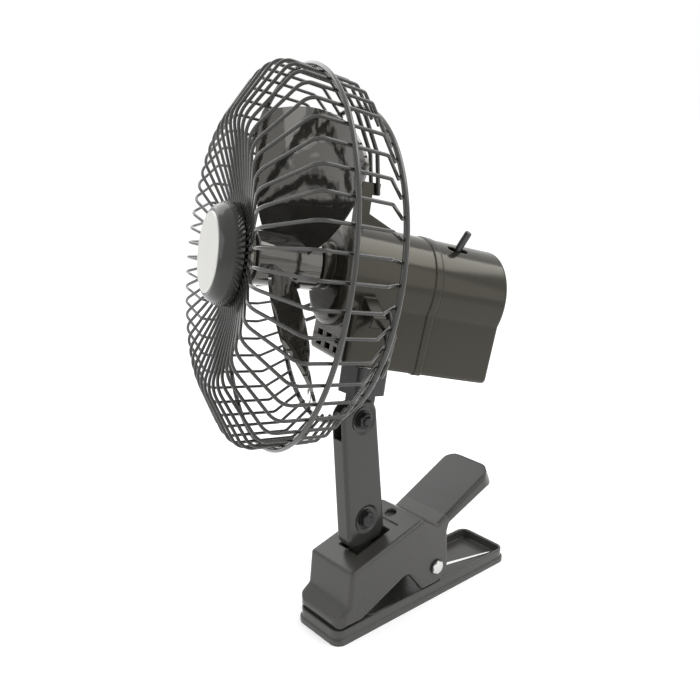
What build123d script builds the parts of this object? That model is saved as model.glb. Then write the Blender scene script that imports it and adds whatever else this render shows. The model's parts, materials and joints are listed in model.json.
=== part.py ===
import os
from math import asin, atan2, cos, degrees, radians, sin, sqrt, tan

from build123d import *

# Shared clearances and stock
overrun = 1.0
running_gap = 0.05
weld_gap = 0.06
seat_gap = 0.15
body_gap = 0.35

# Clamp base: nose towards -Y, underside on the XY plane
base_width = 36.5
base_nose = 33.0
base_tail = 107.0
base_tier = 3.2
base_height = 8.6
base_inset = 0.8
base_corner = 6.0
base_edge = 0.4
tray_floor = 3.0
tray_wall = 1.6
tray_front = -8.0
pad_thickness = 1.6
pad_proud = 0.45
pad_length = 11.0
pad_setback = 2.0
pad_margin = 2.0
rib_count = 5
rib_radius = 0.5

# Clamp pivot and its spring
pivot_y = 42.3
pivot_z = 20.2
pin_radius = 2.5
pin_head_radius = 4.6
pin_head_height = 1.8
ear_radius = 6.6
ear_thickness = 2.6
spring_wire = 1.8
spring_radius = 5.2
spring_turns = 5
coil_steps = 200
spring_lift = 38.0
spring_tail_leg = 60.5
spring_lift_leg = 34.0

# Upper jaw: a side outline given as shares of its reach and rise
jaw_setback = 0.25
jaw_width = base_width - 2 * jaw_setback
jaw_wall = 2.6
jaw_rise = 54.0
jaw_reach = 74.0
handle_reach = 51.0
handle_rise = 49.0
lobe_radius = 11.2
jaw_edge = 2.3
throat_bend = 5.0
jaw_bend = 3.0
jaw_round = 2.0
jaw_corner = 6.0
handle_corner = 11.0
lip_thickness = 5.4
jaw_screw_radius = 1.5
jaw_screw_head = 3.2
jaw_screw_length = 12.0
jaw_screw_x = -3.2
jaw_screw_y = 25.3
jaw_boss_radius = 4.2
jaw_boss_foot = 40.0
jaw_screw_seat = 49.8
jaw_slit_y = 19.6
jaw_slit_width = 0.7
jaw_slit_half = 8.6
jaw_slit_floor = 49.9

# Neck: a folded channel on two bolts, leaning towards the nose
lower_bolt_y = -1.0
lower_bolt_z = 60.9
neck_lean = 4.9
bolt_spacing = 58.2
upper_bolt_back = 2.6
neck_width = 10.6
neck_sheet = 2.0
neck_front_foot = 13.6
neck_front_crown = 11.1
neck_back_foot = 12.8
neck_back_crown = 12.4
neck_foot_drop = 15.5
neck_crown_rise = 10.6
neck_crown_radius = 8.5
neck_foot_radius = 7.0
neck_slot_drop = 9.0
neck_bend = 2.0
dish_radius = 8.2
dish_depth = 0.8
dish_flare = 60.0
tongue_radius = 8.0
tongue_stem_half = 5.0
pocket_ahead = 9.0
pocket_behind = 15.5
pocket_depth = 23.0
pocket_side = 2.3
bolt_radius = 2.5
hex_across = 8.0
hex_height = 2.6
washer_radius = 5.2
washer_thickness = 0.9
thread_end = 1.2

# Knuckle: tilts on the upper bolt and carries the swivel
head_tilt = 10.5
head_yaw = 18.0
head_height = 78.0
knuckle_width = 17.0
knuckle_depth = 21.0
knuckle_start = 13.6
knuckle_round = 3.0
swivel_radius = 7.0
swivel_height = 13.0
bush_wall = 1.8
thrust_radius = 10.0
thrust_thickness = 1.0
swivel_screw_radius = 1.6
swivel_screw_head = 8.2
swivel_screw_head_height = 2.0
swivel_screw_length = 9.0

# Head casings: places along the motor axis count forward from the swivel
casing_pitch = 4.1
casing_radius = 26.5
dome_drop = 4.9
skirt_half_width = 24.0
skirt_drop = 47.0
swivel_drop = 48.2
skirt_round = 3.0
seam_bead = 0.6
seam_bead_length = 4.0
vent_width = 7.0
vent_height = 3.2
vent_pitch = 12.0
vent_rise = 5.0
vent_columns = 3
vent_rows = 2
vent_drop = 39.5
crease_round = 1.5
casing_wall = 2.2
casing_front = 20.0
casing_seam = -23.7
casing_rear = -63.3
casing_edge = 2.4
casing_tail_edge = 1.6
nose_front = 28.5
nose_edge = 5.5
snout_front = 35.0
snout_radius = 11.5
snout_edge = 2.0
lug_half_width = 3.0
lug_front = 17.7
lug_back = 10.9
lug_head_back = 7.0
lug_head_height = 6.0
lug_top = 43.6
lug_root = 20.0
lug_count = 3
gusset_top = 28.5
gusset_length = 18.9
gusset_half = 1.6
screw_radius = 1.5
screw_head_radius = 2.9
screw_head_height = 1.8
screw_boss_radius = 3.3
screw_grip = 10.0
screw_x = 8.0
screw_z = -40.5
screw_web = 1.6
screw_boss_length = 12.0

# Motor and rotor
can_radius = 13.5
can_wall = 1.2
can_front = 16.7
can_rear = -24.0
magnet_thickness = 2.2
magnet_split = 8.0
magnet_length = 28.0
armature_radius = 9.6
armature_length = 26.0
shaft_radius = 2.5
shaft_front = 68.0
shaft_rear = -30.0
bush_radius = 4.6
bush_length = 7.0
hub_radius = 13.2
hub_front = 69.2
hub_rear = 36.5
hub_edge = 2.0
hub_cap_radius = 8.0
hub_cap_thickness = 2.4
blade_count = 3
blade_start = 70.0
blade_place = 51.5
blade_clearance = 18.0
blade_thickness = 1.6
blade_round = 41.0
blade_root_half = 16.0
blade_radius_shares = (0.12, 0.42, 0.72, 1.04)
blade_chord_shares = (0.34, 0.70, 0.88, 0.90)
blade_pitches = (44.0, 38.0, 32.0, 27.0)
blade_camber_share = 0.09

# Guard
wire_count = 50
wire_radius = 0.8
hoop_radius = 92.0
hoop_wire = 1.25
hoop_place = 54.0
ring_inset = 14.6
ring_wire = 1.4
ring_place = 25.2
wire_inner = 18.0
wire_centre = 77.5
wire_knee = 31.0
crest_place = 85.6
crest_share = 0.696
shoulder_place = 69.2
heel_reach = 10.5
wire_slant = 50.0
wire_tail = 2.0
knee_bend = 16.0
crest_bend = 14.0
shoulder_bend = 7.0
heel_bend = 3.0
strut_wire = 1.1
strut_foot_place = 8.3
strut_foot_radius = 37.8
strut_elbow_place = 11.9
strut_elbow_radius = 57.6
strut_bend = 3.5
plate_radius = 24.0
plate_thickness = 1.4
cap_radius = 24.6
cap_front_radius = 20.6
cap_bulge_shares = (0.62, 0.86)
cap_front = 89.2
cap_wall = 1.8
cap_edge = 1.2
badge_radius = 19.4
badge_thickness = 1.2
badge_crown = 0.7
cap_screw_radius = 1.6
cap_screw_head = 3.4
cap_screw_head_height = 2.0
cap_post_radius = 4.0

# Switch lever on the rear casing
lever_place = -35.0
lever_angle = 26.0
lever_pivot_radius = 16.5
lever_radius = 1.9
lever_length = 21.3
lever_hub_radius = 3.4
lever_hub_width = 3.6
lever_lean = 7.0
lever_pin_radius = 1.0
switch_width = 12.0
switch_length = 13.0
switch_bottom = 9.0
lever_slot_length = 12.0

# Frames that follow the pose of the neck, knuckle and head
lean = radians(neck_lean)
tilt = radians(head_tilt)
yaw = radians(head_yaw)
neck_plane = Plane(
    origin=(0, lower_bolt_y, lower_bolt_z), x_dir=(0, cos(lean), sin(lean)), z_dir=(1, 0, 0)
)
upper_bolt_at = neck_plane.from_local_coords(Vector(upper_bolt_back, bolt_spacing, 0))
up = Vector(0, sin(tilt), cos(tilt))
back = Vector(0, cos(tilt), -sin(tilt))
knuckle_plane = Plane(origin=upper_bolt_at, x_dir=(1, 0, 0), z_dir=up)
knuckle_side = Plane(origin=upper_bolt_at, x_dir=back, z_dir=(1, 0, 0))
head_at = knuckle_plane.from_local_coords(Vector(0, 0, head_height))
forward = back * -cos(yaw) + Vector(-sin(yaw), 0, 0)
sideways = Vector(cos(yaw), 0, 0) + back * -sin(yaw)
head_plane = Plane(origin=head_at, x_dir=sideways, z_dir=up)
fan_plane = Plane(origin=head_at, x_dir=sideways, z_dir=forward)
head_side = Plane(origin=head_at, x_dir=forward, z_dir=sideways * -1)
fan_axis = Axis(head_at, forward)
pitch = radians(casing_pitch)
casing_forward = forward * cos(pitch) + up * sin(pitch)
casing_up = up * cos(pitch) - forward * sin(pitch)
casing_plane = Plane(origin=head_at, x_dir=sideways, z_dir=casing_forward)
casing_axis = Axis(head_at, casing_forward)
blade_tip = hoop_radius - blade_clearance
ring_radius = hoop_radius - ring_inset
pivot_side = Plane(origin=(0, pivot_y, pivot_z), x_dir=(0, 1, 0), z_dir=(1, 0, 0))

os.makedirs("parts", exist_ok=True)


def write(builder, name):
    builder.part.label = name
    export_step(builder.part, f"parts/{name}.step")


# Lower jaw: a two-tier tray whose ears carry the pivot pin
base_length = base_nose + base_tail
base_mid = (base_tail - base_nose) / 2
tier_half = base_width / 2 - base_inset
tray_half = tier_half - tray_wall
tray_length = base_tail - base_inset - tray_wall - tray_front
ear_outer = jaw_width / 2 - jaw_wall - body_gap
ear_inner = ear_outer - ear_thickness
pad_width = 2 * tier_half - 2 * pad_margin
pad_mid = -base_nose + base_inset + pad_setback + pad_length / 2
pad_foot = base_height + pad_proud - pad_thickness
with BuildPart() as lower_jaw:
    with BuildSketch():
        with Locations((0, base_mid)):
            RectangleRounded(base_width, base_length, base_corner)
    extrude(amount=base_tier)
    fillet(lower_jaw.faces().sort_by(Axis.Z)[-1].edges(), base_edge)
    with BuildSketch(Plane.XY.offset(base_tier - overrun)):
        with Locations((0, base_mid)):
            RectangleRounded(2 * tier_half, base_length - 2 * base_inset, base_corner)
    extrude(amount=base_height - base_tier + overrun)
    with BuildSketch(Plane.XY.offset(tray_floor)):
        with Locations((0, tray_front + tray_length / 2)):
            RectangleRounded(2 * tray_half, tray_length, base_corner - base_inset - tray_wall)
    extrude(amount=base_height, mode=Mode.SUBTRACT)
    with BuildSketch(Plane.XY.offset(pad_foot)):
        with Locations((0, pad_mid)):
            RectangleRounded(pad_width + 2 * seat_gap, pad_length + 2 * seat_gap, pad_setback + seat_gap)
    extrude(amount=pad_thickness, mode=Mode.SUBTRACT)
    with BuildSketch(pivot_side.offset(ear_inner)):
        Circle(ear_radius)
        with Locations((0, -pivot_z / 2 + tray_floor / 2)):
            Rectangle(2 * ear_radius, pivot_z - tray_floor)
    extrude(amount=ear_thickness)
    mirror(about=Plane.YZ)
    with BuildSketch(pivot_side):
        Circle(pin_radius + running_gap)
    extrude(amount=base_width, both=True, mode=Mode.SUBTRACT)
write(lower_jaw, "lower_jaw")

# Lower pad: ribbed rubber on the nose
rib_pitch = pad_length / rib_count
with BuildPart() as lower_pad:
    with BuildSketch(Plane.XY.offset(pad_foot)):
        with Locations((0, pad_mid)):
            RectangleRounded(pad_width, pad_length, pad_setback)
    extrude(amount=pad_thickness)
    with BuildSketch(Plane.YZ):
        with Locations((pad_mid, base_height + pad_proud)):
            with GridLocations(rib_pitch, 0, rib_count, 1):
                Circle(rib_radius)
    extrude(amount=pad_width, both=True, mode=Mode.SUBTRACT)
write(lower_pad, "lower_pad")

# Pivot pin: a riveted pin with a domed head at each side
pin_half = jaw_width / 2 + body_gap
with BuildPart() as pivot_pin:
    with BuildSketch(pivot_side):
        Circle(pin_radius)
    extrude(amount=pin_half + overrun, both=True)
    with BuildSketch(pivot_side.offset(pin_half)):
        Circle(pin_head_radius)
    extrude(amount=pin_head_height)
    fillet(pivot_pin.faces().sort_by(Axis.X)[-1].edges(), pin_head_height / 2)
    mirror(about=Plane.YZ)
write(pivot_pin, "pivot_pin")

# Torsion spring: quarter turns as tangent arcs, with a leg to the tray and one to the handle
tail_drop = pivot_z - tray_floor - seat_gap - spring_wire / 2
tail_span = sqrt(spring_radius * spring_radius + spring_tail_leg * spring_tail_leg)
spring_tail_dip = degrees(asin(tail_drop / tail_span) - atan2(spring_radius, spring_tail_leg))
spring_start = radians(spring_tail_dip + 90)
spring_sweep = radians(360 * spring_turns + 180 - spring_lift - spring_tail_dip)
spring_half = ear_inner - spring_wire
spring_steps = round(spring_sweep / radians(90))
spring_ease = spring_sweep / spring_steps
spring_slope = -2 * spring_half / (spring_sweep - spring_ease)


def coil_travel(turned):
    left = spring_sweep - turned
    if turned < spring_ease:
        return turned * turned / (2 * spring_ease)
    if left < spring_ease:
        return spring_sweep - spring_ease - left * left / (2 * spring_ease)
    return turned - spring_ease / 2


def coil_point(turned):
    angle = -spring_start - turned
    across = spring_half + spring_slope * coil_travel(turned)
    return Vector(across, pivot_y + spring_radius * cos(angle), pivot_z + spring_radius * sin(angle))


def coil_heading(turned):
    angle = -spring_start - turned
    rise = spring_slope * min(turned, spring_sweep - turned, spring_ease) / spring_ease
    return Vector(rise, spring_radius * sin(angle), -spring_radius * cos(angle)).normalized()


def biarc_joint(first, first_heading, last, last_heading):
    gap = last - first
    turn = first_heading + last_heading
    flat = 4 - turn.dot(turn)
    along = gap.dot(turn)
    reach = (-along + sqrt(along * along + flat * gap.dot(gap))) / flat
    return first + first_heading * reach, last - last_heading * reach


coil_turns = [spring_sweep * step / spring_steps for step in range(spring_steps + 1)]
tail_tip = coil_point(0) - coil_heading(0) * spring_tail_leg
lift_tip = coil_point(spring_sweep) + coil_heading(spring_sweep) * spring_lift_leg
with BuildPart() as spring:
    with BuildLine():
        Line(tail_tip, coil_point(0))
        for begin, end in zip(coil_turns, coil_turns[1:]):
            near, far = biarc_joint(
                coil_point(begin), coil_heading(begin), coil_point(end), coil_heading(end)
            )
            middle = (near + far) * 0.5
            TangentArc(coil_point(begin), middle, tangent=coil_heading(begin))
            TangentArc(middle, coil_point(end), tangent=(far - near).normalized())
        Line(coil_point(spring_sweep), lift_tip)
    with BuildSketch(Plane(origin=tail_tip, z_dir=coil_heading(0))):
        Circle(spring_wire / 2)
    sweep()
write(spring, "spring")
coil_samples = [coil_point(spring_sweep * step / coil_steps) for step in range(coil_steps)]
half_turn_steps = int(coil_steps * radians(180) / spring_sweep)
spring_gap = min(
    (first - second).length - spring_wire
    for place, first in enumerate(coil_samples)
    for second in coil_samples[place + half_turn_steps:]
)
print("spring least gap to itself", round(spring_gap, 2))

# Upper jaw: a hollow shell with pivot lobes, a handle and a pocket for the neck's foot
lip_z = base_height + 2 * pad_proud + body_gap
front_shares = ((0.896, 0.385), (0.869, 0.741), (0.153, 1.0))
notch_share = 0.861
handle_shares = ((0.935, 0.996), (1.0, 0.91), (0.955, 0.792), (0.21, 0.496), (0.18, 0.404))
lobe_toe_share = 0.15
lobe_flank_share = (0.207, 0.278)
throat_share = (0.305, 0.452)
apex_share = 0.774
hollow_front_shares = ((0.853, 0.324), (0.832, 0.704), (0.161, 0.948), (-0.009, 0.807))
hollow_back_shares = ((0.13, 0.394), (0.386, 0.384), (0.386, -0.4))
hollow_floor_shares = ((0.68, 0.02), (0.747, 0.268))


def ahead(shares):
    return pivot_y - shares[0] * jaw_reach, shares[1] * jaw_rise


def behind(shares):
    return pivot_y + shares[0] * handle_reach, pivot_z + shares[1] * handle_rise


jaw_nose = pivot_y - jaw_reach
jaw_points = [
    (jaw_nose, lip_z),
    (jaw_nose, lip_z + lip_thickness),
    *[ahead(place) for place in front_shares],
    (pivot_y, notch_share * jaw_rise),
    *[behind(place) for place in handle_shares],
    (pivot_y + lobe_radius, pivot_z - lobe_radius),
    (pivot_y - lobe_toe_share * jaw_reach, pivot_z - lobe_radius),
    ahead(lobe_flank_share),
    ahead(throat_share),
    (pivot_y - apex_share * jaw_reach, lip_z),
]
jaw_bends = {
    jaw_points[1]: jaw_bend,
    ahead(throat_share): throat_bend,
    ahead(lobe_flank_share): jaw_bend,
    (pivot_y + lobe_radius, pivot_z - lobe_radius): lobe_radius,
}
hollow_points = [
    *[ahead(place) for place in hollow_front_shares],
    *[behind(place) for place in hollow_back_shares],
    *[ahead(place) for place in hollow_floor_shares],
]
tongue_half = neck_width / 2 - neck_sheet - body_gap
pocket_half = neck_width / 2 + pocket_side
pocket_floor = lower_bolt_z - pocket_depth
pocket_mid = lower_bolt_y + (pocket_behind - pocket_ahead) / 2
pocket_length = pocket_ahead + pocket_behind
handle_end = pivot_y + handle_reach
handle_lift = behind(handle_shares[0])[1] - notch_share * jaw_rise
handle_slope = atan2(handle_lift, handle_shares[0][0] * handle_reach)
handle_plane = Plane(
    origin=(0, pivot_y, pivot_z), x_dir=(1, 0, 0), z_dir=(0, -sin(handle_slope), cos(handle_slope))
)
handle_top_share, handle_lift_share = handle_shares[0]
handle_far = handle_top_share * handle_reach * cos(handle_slope)
handle_far += handle_lift_share * handle_rise * sin(handle_slope)
jaw_span = jaw_reach + handle_reach
pad_roof = lip_z - pad_proud
with BuildPart() as upper_jaw:
    with BuildSketch(Plane.YZ) as jaw_outline:
        with BuildLine():
            Polyline(*jaw_points, close=True)
        make_face()
        for place in jaw_points:
            fillet(jaw_outline.vertices().sort_by_distance(place)[0], jaw_bends.get(place, jaw_edge))
    extrude(amount=jaw_width / 2, both=True)
    jaw_sides = upper_jaw.faces().sort_by(Axis.X)
    fillet(jaw_sides[0].edges() + jaw_sides[-1].edges(), jaw_round)
    with BuildSketch(Plane.XY):
        with Locations((0, (handle_end + jaw_nose) / 2)):
            RectangleRounded(jaw_width, handle_end - jaw_nose, jaw_corner)
    extrude(amount=pivot_z + handle_rise, mode=Mode.INTERSECT)
    with BuildSketch(handle_plane):
        with Locations((0, handle_far - jaw_span)):
            RectangleRounded(jaw_width, 2 * jaw_span, handle_corner)
    extrude(amount=jaw_span, both=True, mode=Mode.INTERSECT)
    with BuildSketch(Plane.YZ):
        with BuildLine():
            Polyline(*hollow_points, close=True)
        make_face()
    extrude(amount=jaw_width / 2 - jaw_wall, both=True, mode=Mode.SUBTRACT)
    with BuildSketch(Plane.YZ):
        add(jaw_outline.sketch_local)
        with Locations((pocket_mid, pocket_floor - jaw_wall + jaw_rise / 2)):
            Rectangle(pocket_length + 2 * jaw_wall, jaw_rise, mode=Mode.INTERSECT)
    extrude(amount=pocket_half + jaw_wall, both=True)
    with Locations((jaw_screw_x, jaw_screw_y, (jaw_boss_foot + jaw_screw_seat) / 2)):
        Cylinder(jaw_boss_radius, jaw_screw_seat - jaw_boss_foot)
    with BuildSketch(Plane.YZ):
        with Locations((pocket_mid, pocket_floor + jaw_rise / 2)):
            Rectangle(pocket_length, jaw_rise)
    extrude(amount=pocket_half, both=True, mode=Mode.SUBTRACT)
    with BuildSketch(Plane.YZ):
        with Locations((lower_bolt_y, lower_bolt_z)):
            Circle(tongue_radius)
        with Locations((lower_bolt_y, (lower_bolt_z + pocket_floor - jaw_wall) / 2)):
            Rectangle(2 * tongue_stem_half, pocket_depth + jaw_wall)
    extrude(amount=tongue_half, both=True)
    with BuildSketch(Plane.YZ):
        with Locations((lower_bolt_y, lower_bolt_z)):
            Circle(bolt_radius + running_gap)
        with Locations((pivot_y, pivot_z)):
            Circle(pin_radius + running_gap)
    extrude(amount=base_width, both=True, mode=Mode.SUBTRACT)
    with BuildSketch(Plane.XY.offset(jaw_screw_seat)):
        with Locations((jaw_screw_x, jaw_screw_y)):
            Circle(jaw_screw_head + seat_gap)
    extrude(amount=jaw_rise, mode=Mode.SUBTRACT)
    with BuildSketch(Plane.XY.offset(jaw_screw_seat)):
        with Locations((jaw_screw_x, jaw_screw_y)):
            Circle(jaw_screw_radius + running_gap)
    extrude(amount=-jaw_screw_length, mode=Mode.SUBTRACT)
    with BuildSketch(Plane.XY.offset(jaw_slit_floor)):
        with Locations((0, jaw_slit_y)):
            Rectangle(2 * jaw_slit_half, jaw_slit_width)
    extrude(amount=jaw_rise, mode=Mode.SUBTRACT)
    with BuildSketch(Plane.XY.offset(pad_roof)):
        with Locations((0, pad_mid)):
            RectangleRounded(pad_width + 2 * seat_gap, pad_length + 2 * seat_gap, pad_setback + seat_gap)
    extrude(amount=pad_thickness, mode=Mode.SUBTRACT)
write(upper_jaw, "upper_jaw")

# Upper pad: the ribbed rubber under the lip
with BuildPart() as upper_pad:
    with BuildSketch(Plane.XY.offset(pad_roof)):
        with Locations((0, pad_mid)):
            RectangleRounded(pad_width, pad_length, pad_setback)
    extrude(amount=pad_thickness)
    with BuildSketch(Plane.YZ):
        with Locations((pad_mid, pad_roof)):
            with GridLocations(rib_pitch, 0, rib_count, 1):
                Circle(rib_radius)
    extrude(amount=pad_width, both=True, mode=Mode.SUBTRACT)
write(upper_pad, "upper_pad")

# Jaw screw: pan head sunk in the plateau
with BuildPart() as jaw_screw:
    with BuildSketch(Plane.XY.offset(jaw_screw_seat)):
        with Locations((jaw_screw_x, jaw_screw_y)):
            Circle(jaw_screw_head)
    extrude(amount=screw_head_height)
    fillet(jaw_screw.faces().sort_by(Axis.Z)[-1].edges(), screw_head_height / 3)
    with BuildSketch(Plane.XY.offset(jaw_screw_seat)):
        with Locations((jaw_screw_x, jaw_screw_y)):
            Circle(jaw_screw_radius)
    extrude(amount=-(jaw_screw_seat - jaw_boss_foot))
write(jaw_screw, "jaw_screw")

# Neck: folded channel with its web to the front, open above for the knuckle
neck_top = bolt_spacing + neck_crown_rise
bolt_places = {"lower": (0, 0), "upper": (upper_bolt_back, bolt_spacing)}
neck_inside = neck_width / 2 - neck_sheet
with BuildPart() as neck:
    with BuildSketch(neck_plane) as neck_outline:
        with BuildLine():
            Polyline(
                (-neck_front_foot, -neck_foot_drop),
                (neck_back_foot, -neck_foot_drop),
                (neck_back_crown, neck_top),
                (-neck_front_crown, neck_top),
                close=True,
            )
        make_face()
        fillet(neck_outline.vertices().sort_by(Axis.Y)[:2], neck_foot_radius)
        fillet(neck_outline.vertices().sort_by(Axis.Y)[-2:], neck_crown_radius)
    extrude(amount=neck_width / 2, both=True)
    long_edges = neck.edges().sort_by(SortBy.LENGTH)[-4:]
    fillet(long_edges.sort_by(Axis(neck_plane.origin, neck_plane.x_dir))[:2], neck_bend)
    with BuildSketch(neck_plane):
        with BuildLine():
            Polyline(
                (neck_sheet - neck_front_foot, -neck_foot_drop - overrun),
                (neck_back_foot + overrun, -neck_foot_drop - overrun),
                (neck_back_foot + overrun, neck_top + overrun),
                (neck_sheet - neck_front_crown, neck_top + overrun),
                close=True,
            )
        make_face()
        with Locations((0, neck_top + overrun - (neck_crown_rise + neck_slot_drop) / 2)):
            Rectangle(2 * neck_front_foot, neck_crown_rise + neck_slot_drop)
    extrude(amount=neck_inside, both=True, mode=Mode.SUBTRACT)
    with BuildSketch(neck_plane):
        with Locations(*bolt_places.values()):
            Circle(bolt_radius + running_gap)
    extrude(amount=neck_width, both=True, mode=Mode.SUBTRACT)
    for face_plane in (neck_plane.offset(neck_width / 2), -neck_plane.offset(-neck_width / 2)):
        for place in bolt_places.values():
            with BuildSketch(face_plane):
                with Locations(face_plane.to_local_coords(neck_plane.from_local_coords(Vector(*place)))):
                    Circle(dish_radius)
            extrude(amount=-dish_depth, taper=dish_flare, mode=Mode.SUBTRACT)
write(neck, "neck")

# Bolts, nuts and washers of the two neck pivots
dish_seat = neck_width / 2 - dish_depth
head_seat = dish_seat + washer_thickness
head_signs = {"lower": 1, "upper": -1}
for pivot, place in bolt_places.items():
    outward = head_signs[pivot]
    with BuildPart() as bolt:
        with BuildSketch(neck_plane.offset(outward * head_seat)):
            with Locations(place):
                RegularPolygon(hex_across / 2, 6, major_radius=False)
        extrude(amount=outward * hex_height)
        with BuildSketch(neck_plane.offset(outward * head_seat)):
            with Locations(place):
                Circle(bolt_radius)
        extrude(amount=-outward * (2 * head_seat + hex_height + thread_end))
    write(bolt, f"{pivot}_bolt")
    with BuildPart() as nut:
        with BuildSketch(neck_plane.offset(-outward * head_seat)):
            with Locations(place):
                RegularPolygon(hex_across / 2, 6, major_radius=False)
                Circle(bolt_radius + running_gap, mode=Mode.SUBTRACT)
        extrude(amount=-outward * hex_height)
    write(nut, f"{pivot}_nut")
with BuildPart() as washers:
    for side in (dish_seat, -head_seat):
        with BuildSketch(neck_plane.offset(side)):
            for place in bolt_places.values():
                with Locations(place):
                    Circle(washer_radius)
                    Circle(bolt_radius + running_gap, mode=Mode.SUBTRACT)
        extrude(amount=washer_thickness)
write(washers, "washers")

# Knuckle: a tongue on the upper bolt, a block and the swivel spigot
casing_floor = head_height - swivel_drop
block_top = casing_floor - thrust_thickness - seat_gap
spigot_top = casing_floor + swivel_height
with BuildPart() as knuckle:
    with BuildSketch(knuckle_side):
        Circle(tongue_radius)
        with Locations((0, (knuckle_start + overrun) / 2)):
            Rectangle(2 * tongue_radius, knuckle_start + overrun)
    extrude(amount=tongue_half, both=True)
    with BuildSketch(knuckle_plane.offset(knuckle_start)):
        RectangleRounded(knuckle_width, knuckle_depth, knuckle_round)
    extrude(amount=block_top - knuckle_start)
    with BuildSketch(knuckle_plane.offset(block_top)):
        Circle(swivel_radius)
    extrude(amount=spigot_top - block_top)
    with BuildSketch(knuckle_side):
        Circle(bolt_radius + running_gap)
    extrude(amount=knuckle_width, both=True, mode=Mode.SUBTRACT)
    with BuildSketch(knuckle_plane.offset(spigot_top)):
        Circle(swivel_screw_radius + running_gap)
    extrude(amount=-swivel_screw_length - overrun, mode=Mode.SUBTRACT)
write(knuckle, "knuckle")

# Thrust washer between the knuckle and the head
with BuildPart() as thrust_washer:
    with BuildSketch(knuckle_plane.offset(block_top)):
        Circle(thrust_radius)
        Circle(swivel_radius + running_gap, mode=Mode.SUBTRACT)
    extrude(amount=thrust_thickness)
write(thrust_washer, "thrust_washer")

# Swivel screw: its wide head keeps the spigot in the bush
with BuildPart() as swivel_screw:
    with BuildSketch(knuckle_plane.offset(spigot_top)):
        Circle(swivel_screw_head)
    extrude(amount=swivel_screw_head_height)
    with BuildSketch(knuckle_plane.offset(spigot_top)):
        Circle(swivel_screw_radius)
    extrude(amount=-swivel_screw_length)
write(swivel_screw, "swivel_screw")

# Swivel bush, pressed into the floor of the front casing
swivel_bush_radius = swivel_radius + running_gap + bush_wall
with BuildPart() as swivel_bush:
    with BuildSketch(head_plane.offset(-swivel_drop)):
        Circle(swivel_bush_radius)
        Circle(swivel_radius + running_gap, mode=Mode.SUBTRACT)
    extrude(amount=swivel_height - body_gap)
write(swivel_bush, "swivel_bush")


def casing_section(section, inset):
    with Locations((0, -dome_drop)):
        Circle(casing_radius - inset)
    with Locations((0, (inset - skirt_drop - dome_drop) / 2)):
        Rectangle(2 * (skirt_half_width - inset), skirt_drop - dome_drop - inset)
    fillet(section.vertices().sort_by(Axis.Y)[2:4], crease_round + inset)
    fillet(section.vertices().sort_by(Axis.Y)[:2], skirt_round - inset)


def screw_places():
    return Locations((screw_x, screw_z), (-screw_x, screw_z))


def screw_webs():
    with Locations((screw_x, (screw_z - web_foot) / 2), (-screw_x, (screw_z - web_foot) / 2)):
        Rectangle(2 * screw_web, web_foot + screw_z)


web_foot = skirt_drop - casing_wall / 2

# One lug with its head and gusset, the lug's height along X
with BuildPart() as lug:
    with BuildSketch(Plane.XZ):
        with BuildLine():
            Polyline(
                (lug_root, lug_front),
                (lug_top, lug_front),
                (lug_top, lug_head_back),
                (lug_top - lug_head_height, lug_head_back),
                (lug_top - lug_head_height, lug_back),
                (lug_root, lug_back),
                close=True,
            )
        make_face()
    extrude(amount=lug_half_width, both=True)
    with BuildSketch(Plane.XZ):
        with BuildLine():
            Polyline(
                (lug_root, lug_back - gusset_length),
                (gusset_top, lug_back),
                (gusset_top, lug_front),
                (lug_root, lug_front),
                close=True,
            )
        make_face()
    extrude(amount=gusset_half, both=True)

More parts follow.
